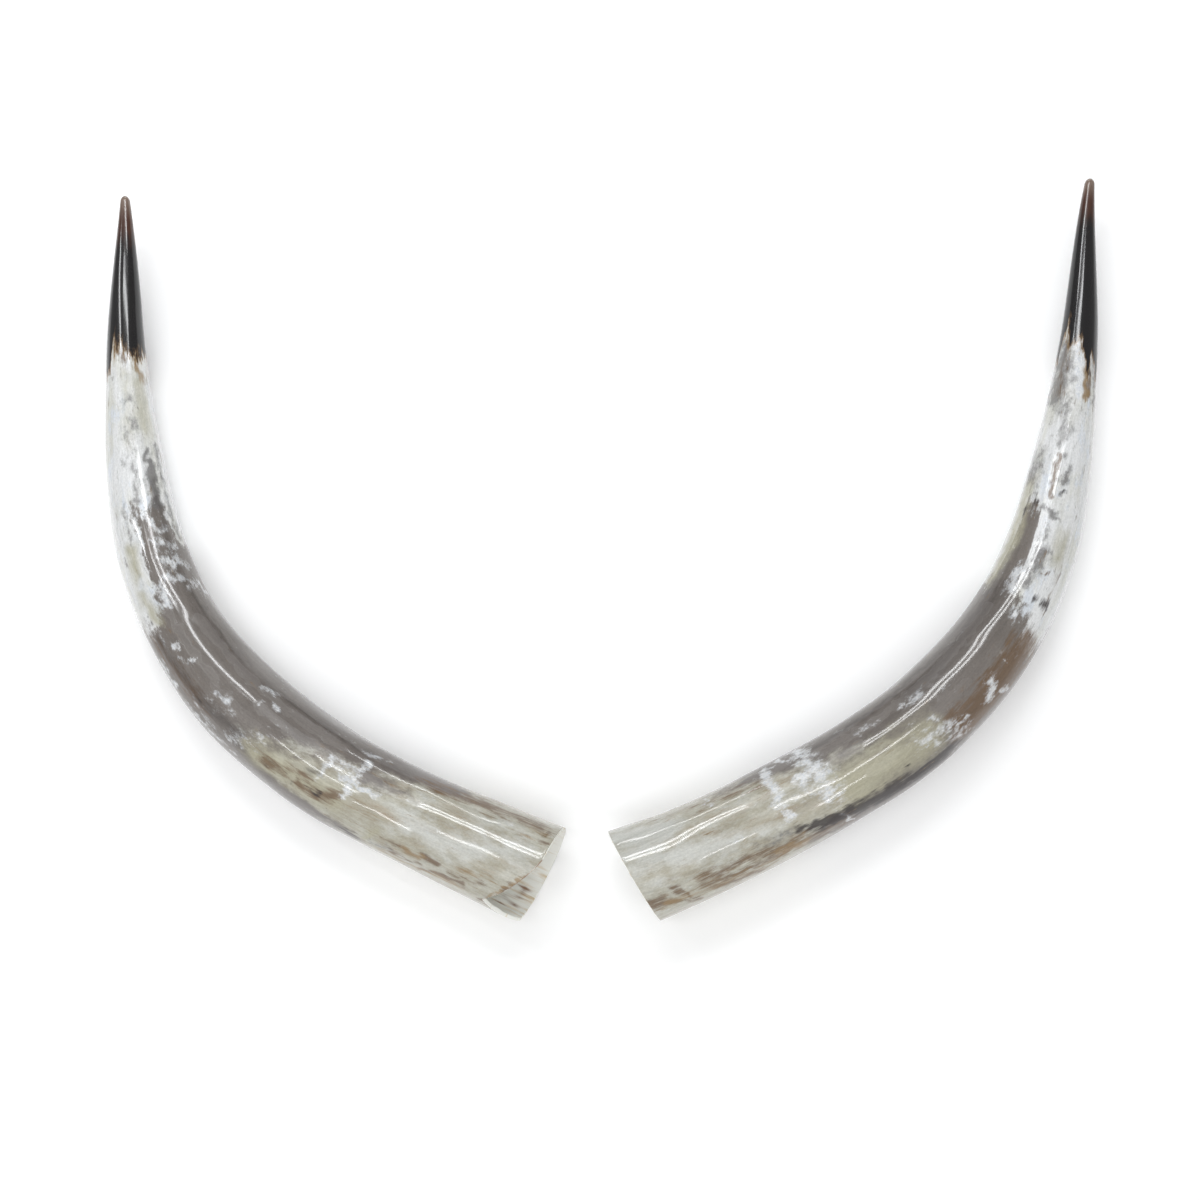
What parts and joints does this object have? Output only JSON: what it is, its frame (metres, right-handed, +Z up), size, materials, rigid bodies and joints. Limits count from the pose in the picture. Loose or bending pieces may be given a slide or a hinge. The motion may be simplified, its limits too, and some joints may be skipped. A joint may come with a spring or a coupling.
{
  "type": "pair of polished cow horns",
  "caption": "Polished cow horns lying flat in a mirrored pair, each bent and tapering from a hollow sawn mouth to a solid rounded tip.",
  "frame": {"origin": "middle of the pair's footprint, on the surface that the horns lie on", "axes": "+X from the left horn's bend to the right horn's bend, +Y from the mouths towards the tips, +Z up"},
  "size_m": [0.9804, 0.7214, 0.094],
  "materials": {
    "left_horn": "polished horn, grey and cream with a black tip",
    "right_horn": "polished horn, grey and cream with a black tip"
  },
  "bodies": {
    "root": {"left_horn": "left_horn", "right_horn": "right_horn"}
  },
  "joints": []
}
